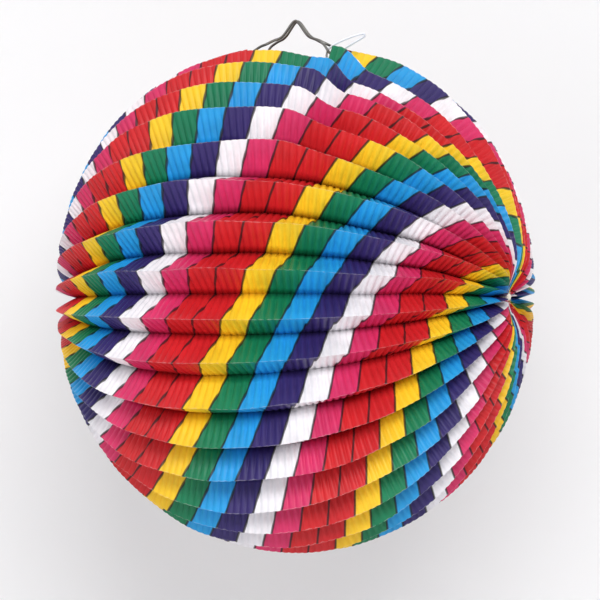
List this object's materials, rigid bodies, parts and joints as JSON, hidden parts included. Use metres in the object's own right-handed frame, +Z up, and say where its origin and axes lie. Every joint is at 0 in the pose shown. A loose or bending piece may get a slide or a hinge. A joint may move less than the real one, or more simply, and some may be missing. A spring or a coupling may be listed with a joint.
{
  "type": "accordion paper lantern",
  "caption": "Round lantern of pleated printed paper tied at two poles, with a bent wire hanger and an inner candle holder; it folds like a fan.",
  "frame": {"origin": "underside of the hanger wire's peak, where the lantern hangs; the ball's centre is 136 mm below it", "axes": "+Z up, +X along the axis through the two tied poles, -Y towards the front half of the folds"},
  "size_m": [0.2264, 0.249, 0.2615],
  "materials": {
    "printed_paper": "matte print",
    "thread": "cotton thread",
    "steel_wire": "drawn steel wire",
    "tinplate": "tinplate",
    "white_cord": "white nylon"
  },
  "bodies": {
    "poles": {"left_gather": "printed_paper", "right_gather": "printed_paper", "left_pole_thread": "thread", "right_pole_thread": "thread"},
    "front_fold_01": {"front_pleat_01": "printed_paper"},
    "front_fold_02": {"front_pleat_02": "printed_paper"},
    "front_fold_03": {"front_pleat_03": "printed_paper"},
    "front_fold_04": {"front_pleat_04": "printed_paper"},
    "front_fold_05": {"front_pleat_05": "printed_paper"},
    "front_fold_06": {"front_pleat_06": "printed_paper"},
    "front_fold_07": {"front_pleat_07": "printed_paper"},
    "front_fold_08": {"front_pleat_08": "printed_paper"},
    "front_fold_09": {"front_pleat_09": "printed_paper"},
    "front_fold_10": {"front_pleat_10": "printed_paper"},
    "front_fold_11": {"front_pleat_11": "printed_paper"},
    "front_fold_12": {"front_pleat_12": "printed_paper"},
    "front_fold_13": {"front_pleat_13": "printed_paper"},
    "front_fold_14": {"front_pleat_14": "printed_paper"},
    "front_fold_15": {"front_pleat_15": "printed_paper"},
    "front_fold_16": {"front_pleat_16": "printed_paper"},
    "front_fold_17": {"front_pleat_17": "printed_paper"},
    "front_fold_18": {"front_pleat_18": "printed_paper"},
    "back_fold_01": {"back_pleat_01": "printed_paper"},
    "back_fold_02": {"back_pleat_02": "printed_paper"},
    "back_fold_03": {"back_pleat_03": "printed_paper"},
    "back_fold_04": {"back_pleat_04": "printed_paper"},
    "back_fold_05": {"back_pleat_05": "printed_paper"},
    "back_fold_06": {"back_pleat_06": "printed_paper"},
    "back_fold_07": {"back_pleat_07": "printed_paper"},
    "back_fold_08": {"back_pleat_08": "printed_paper"},
    "back_fold_09": {"back_pleat_09": "printed_paper"},
    "back_fold_10": {"back_pleat_10": "printed_paper"},
    "back_fold_11": {"back_pleat_11": "printed_paper"},
    "back_fold_12": {"back_pleat_12": "printed_paper"},
    "back_fold_13": {"back_pleat_13": "printed_paper"},
    "back_fold_14": {"back_pleat_14": "printed_paper"},
    "back_fold_15": {"back_pleat_15": "printed_paper"},
    "back_fold_16": {"back_pleat_16": "printed_paper"},
    "back_fold_17": {"back_pleat_17": "printed_paper"},
    "back_fold_18": {"back_pleat_18": "printed_paper", "holder_wire": "steel_wire", "clamp_strip": "tinplate", "holder_base": "tinplate", "candle_cup": "tinplate", "holder_rivet": "tinplate"},
    "hanger": {"hanger_wire": "steel_wire", "tie_loop": "white_cord"}
  },
  "joints": [
    {"name": "fold", "type": "hinge", "parent": "poles", "child": "front_fold_01", "pos_m": [0, 0, -0.136], "axis": [1, 0, 0], "range_deg": [0, 165], "deforming": ["front_pleat_01"]},
    {"name": "front_fold_02_turn", "type": "hinge", "parent": "poles", "child": "front_fold_02", "pos_m": [0, 0, -0.136], "axis": [1, 0, 0], "range_deg": [0, 155.57], "deforming": ["front_pleat_02"]},
    {"name": "front_fold_03_turn", "type": "hinge", "parent": "poles", "child": "front_fold_03", "pos_m": [0, 0, -0.136], "axis": [1, 0, 0], "range_deg": [0, 146.14], "deforming": ["front_pleat_03"]},
    {"name": "front_fold_04_turn", "type": "hinge", "parent": "poles", "child": "front_fold_04", "pos_m": [0, 0, -0.136], "axis": [1, 0, 0], "range_deg": [0, 136.71], "deforming": ["front_pleat_04"]},
    {"name": "front_fold_05_turn", "type": "hinge", "parent": "poles", "child": "front_fold_05", "pos_m": [0, 0, -0.136], "axis": [1, 0, 0], "range_deg": [0, 127.29], "deforming": ["front_pleat_05"]},
    {"name": "front_fold_06_turn", "type": "hinge", "parent": "poles", "child": "front_fold_06", "pos_m": [0, 0, -0.136], "axis": [1, 0, 0], "range_deg": [0, 117.86], "deforming": ["front_pleat_06"]},
    {"name": "front_fold_07_turn", "type": "hinge", "parent": "poles", "child": "front_fold_07", "pos_m": [0, 0, -0.136], "axis": [1, 0, 0], "range_deg": [0, 108.43], "deforming": ["front_pleat_07"]},
    {"name": "front_fold_08_turn", "type": "hinge", "parent": "poles", "child": "front_fold_08", "pos_m": [0, 0, -0.136], "axis": [1, 0, 0], "range_deg": [0, 99], "deforming": ["front_pleat_08"]},
    {"name": "front_fold_09_turn", "type": "hinge", "parent": "poles", "child": "front_fold_09", "pos_m": [0, 0, -0.136], "axis": [1, 0, 0], "range_deg": [0, 89.57], "deforming": ["front_pleat_09"]},
    {"name": "front_fold_10_turn", "type": "hinge", "parent": "poles", "child": "front_fold_10", "pos_m": [0, 0, -0.136], "axis": [1, 0, 0], "range_deg": [0, 80.14], "deforming": ["front_pleat_10"]},
    {"name": "front_fold_11_turn", "type": "hinge", "parent": "poles", "child": "front_fold_11", "pos_m": [0, 0, -0.136], "axis": [1, 0, 0], "range_deg": [0, 70.71], "deforming": ["front_pleat_11"]},
    {"name": "front_fold_12_turn", "type": "hinge", "parent": "poles", "child": "front_fold_12", "pos_m": [0, 0, -0.136], "axis": [1, 0, 0], "range_deg": [0, 61.29], "deforming": ["front_pleat_12"]},
    {"name": "front_fold_13_turn", "type": "hinge", "parent": "poles", "child": "front_fold_13", "pos_m": [0, 0, -0.136], "axis": [1, 0, 0], "range_deg": [0, 51.86], "deforming": ["front_pleat_13"]},
    {"name": "front_fold_14_turn", "type": "hinge", "parent": "poles", "child": "front_fold_14", "pos_m": [0, 0, -0.136], "axis": [1, 0, 0], "range_deg": [0, 42.43], "deforming": ["front_pleat_14"]},
    {"name": "front_fold_15_turn", "type": "hinge", "parent": "poles", "child": "front_fold_15", "pos_m": [0, 0, -0.136], "axis": [1, 0, 0], "range_deg": [0, 33], "deforming": ["front_pleat_15"]},
    {"name": "front_fold_16_turn", "type": "hinge", "parent": "poles", "child": "front_fold_16", "pos_m": [0, 0, -0.136], "axis": [1, 0, 0], "range_deg": [0, 23.57], "deforming": ["front_pleat_16"]},
    {"name": "front_fold_17_turn", "type": "hinge", "parent": "poles", "child": "front_fold_17", "pos_m": [0, 0, -0.136], "axis": [1, 0, 0], "range_deg": [0, 14.14], "deforming": ["front_pleat_17"]},
    {"name": "front_fold_18_turn", "type": "hinge", "parent": "poles", "child": "front_fold_18", "pos_m": [0, 0, -0.136], "axis": [1, 0, 0], "range_deg": [0, 4.71], "deforming": ["front_pleat_18"]},
    {"name": "back_fold_01_turn", "type": "hinge", "parent": "poles", "child": "back_fold_01", "pos_m": [0, 0, -0.136], "axis": [1, 0, 0], "range_deg": [-165, 0], "deforming": ["back_pleat_01"]},
    {"name": "back_fold_02_turn", "type": "hinge", "parent": "poles", "child": "back_fold_02", "pos_m": [0, 0, -0.136], "axis": [1, 0, 0], "range_deg": [-155.57, 0], "deforming": ["back_pleat_02"]},
    {"name": "back_fold_03_turn", "type": "hinge", "parent": "poles", "child": "back_fold_03", "pos_m": [0, 0, -0.136], "axis": [1, 0, 0], "range_deg": [-146.14, 0], "deforming": ["back_pleat_03"]},
    {"name": "back_fold_04_turn", "type": "hinge", "parent": "poles", "child": "back_fold_04", "pos_m": [0, 0, -0.136], "axis": [1, 0, 0], "range_deg": [-136.71, 0], "deforming": ["back_pleat_04"]},
    {"name": "back_fold_05_turn", "type": "hinge", "parent": "poles", "child": "back_fold_05", "pos_m": [0, 0, -0.136], "axis": [1, 0, 0], "range_deg": [-127.29, 0], "deforming": ["back_pleat_05"]},
    {"name": "back_fold_06_turn", "type": "hinge", "parent": "poles", "child": "back_fold_06", "pos_m": [0, 0, -0.136], "axis": [1, 0, 0], "range_deg": [-117.86, 0], "deforming": ["back_pleat_06"]},
    {"name": "back_fold_07_turn", "type": "hinge", "parent": "poles", "child": "back_fold_07", "pos_m": [0, 0, -0.136], "axis": [1, 0, 0], "range_deg": [-108.43, 0], "deforming": ["back_pleat_07"]},
    {"name": "back_fold_08_turn", "type": "hinge", "parent": "poles", "child": "back_fold_08", "pos_m": [0, 0, -0.136], "axis": [1, 0, 0], "range_deg": [-99, 0], "deforming": ["back_pleat_08"]},
    {"name": "back_fold_09_turn", "type": "hinge", "parent": "poles", "child": "back_fold_09", "pos_m": [0, 0, -0.136], "axis": [1, 0, 0], "range_deg": [-89.57, 0], "deforming": ["back_pleat_09"]},
    {"name": "back_fold_10_turn", "type": "hinge", "parent": "poles", "child": "back_fold_10", "pos_m": [0, 0, -0.136], "axis": [1, 0, 0], "range_deg": [-80.14, 0], "deforming": ["back_pleat_10"]},
    {"name": "back_fold_11_turn", "type": "hinge", "parent": "poles", "child": "back_fold_11", "pos_m": [0, 0, -0.136], "axis": [1, 0, 0], "range_deg": [-70.71, 0], "deforming": ["back_pleat_11"]},
    {"name": "back_fold_12_turn", "type": "hinge", "parent": "poles", "child": "back_fold_12", "pos_m": [0, 0, -0.136], "axis": [1, 0, 0], "range_deg": [-61.29, 0], "deforming": ["back_pleat_12"]},
    {"name": "back_fold_13_turn", "type": "hinge", "parent": "poles", "child": "back_fold_13", "pos_m": [0, 0, -0.136], "axis": [1, 0, 0], "range_deg": [-51.86, 0], "deforming": ["back_pleat_13"]},
    {"name": "back_fold_14_turn", "type": "hinge", "parent": "poles", "child": "back_fold_14", "pos_m": [0, 0, -0.136], "axis": [1, 0, 0], "range_deg": [-42.43, 0], "deforming": ["back_pleat_14"]},
    {"name": "back_fold_15_turn", "type": "hinge", "parent": "poles", "child": "back_fold_15", "pos_m": [0, 0, -0.136], "axis": [1, 0, 0], "range_deg": [-33, 0], "deforming": ["back_pleat_15"]},
    {"name": "back_fold_16_turn", "type": "hinge", "parent": "poles", "child": "back_fold_16", "pos_m": [0, 0, -0.136], "axis": [1, 0, 0], "range_deg": [-23.57, 0], "deforming": ["back_pleat_16"]},
    {"name": "back_fold_17_turn", "type": "hinge", "parent": "poles", "child": "back_fold_17", "pos_m": [0, 0, -0.136], "axis": [1, 0, 0], "range_deg": [-14.14, 0], "deforming": ["back_pleat_17"]},
    {"name": "back_fold_18_turn", "type": "hinge", "parent": "poles", "child": "back_fold_18", "pos_m": [0, 0, -0.136], "axis": [1, 0, 0], "range_deg": [-4.71, 0], "deforming": ["back_pleat_18"]},
    {"name": "hanger_swing", "type": "hinge", "parent": "back_fold_01", "child": "hanger", "pos_m": [0, 0.0065, -0.0215], "axis": [-1, 0, 0], "range_deg": [0, 60]}
  ],
  "couplings": [
    {"joint": "front_fold_02_turn", "follows": "fold", "ratio": 0.94286},
    {"joint": "front_fold_03_turn", "follows": "fold", "ratio": 0.88571},
    {"joint": "front_fold_04_turn", "follows": "fold", "ratio": 0.82857},
    {"joint": "front_fold_05_turn", "follows": "fold", "ratio": 0.77143},
    {"joint": "front_fold_06_turn", "follows": "fold", "ratio": 0.71429},
    {"joint": "front_fold_07_turn", "follows": "fold", "ratio": 0.65714},
    {"joint": "front_fold_08_turn", "follows": "fold", "ratio": 0.6},
    {"joint": "front_fold_09_turn", "follows": "fold", "ratio": 0.54286},
    {"joint": "front_fold_10_turn", "follows": "fold", "ratio": 0.48571},
    {"joint": "front_fold_11_turn", "follows": "fold", "ratio": 0.42857},
    {"joint": "front_fold_12_turn", "follows": "fold", "ratio": 0.37143},
    {"joint": "front_fold_13_turn", "follows": "fold", "ratio": 0.31429},
    {"joint": "front_fold_14_turn", "follows": "fold", "ratio": 0.25714},
    {"joint": "front_fold_15_turn", "follows": "fold", "ratio": 0.2},
    {"joint": "front_fold_16_turn", "follows": "fold", "ratio": 0.14286},
    {"joint": "front_fold_17_turn", "follows": "fold", "ratio": 0.085714},
    {"joint": "front_fold_18_turn", "follows": "fold", "ratio": 0.028571},
    {"joint": "back_fold_01_turn", "follows": "fold", "ratio": -1},
    {"joint": "back_fold_02_turn", "follows": "fold", "ratio": -0.94286},
    {"joint": "back_fold_03_turn", "follows": "fold", "ratio": -0.88571},
    {"joint": "back_fold_04_turn", "follows": "fold", "ratio": -0.82857},
    {"joint": "back_fold_05_turn", "follows": "fold", "ratio": -0.77143},
    {"joint": "back_fold_06_turn", "follows": "fold", "ratio": -0.71429},
    {"joint": "back_fold_07_turn", "follows": "fold", "ratio": -0.65714},
    {"joint": "back_fold_08_turn", "follows": "fold", "ratio": -0.6},
    {"joint": "back_fold_09_turn", "follows": "fold", "ratio": -0.54286},
    {"joint": "back_fold_10_turn", "follows": "fold", "ratio": -0.48571},
    {"joint": "back_fold_11_turn", "follows": "fold", "ratio": -0.42857},
    {"joint": "back_fold_12_turn", "follows": "fold", "ratio": -0.37143},
    {"joint": "back_fold_13_turn", "follows": "fold", "ratio": -0.31429},
    {"joint": "back_fold_14_turn", "follows": "fold", "ratio": -0.25714},
    {"joint": "back_fold_15_turn", "follows": "fold", "ratio": -0.2},
    {"joint": "back_fold_16_turn", "follows": "fold", "ratio": -0.14286},
    {"joint": "back_fold_17_turn", "follows": "fold", "ratio": -0.085714},
    {"joint": "back_fold_18_turn", "follows": "fold", "ratio": -0.028571}
  ]
}
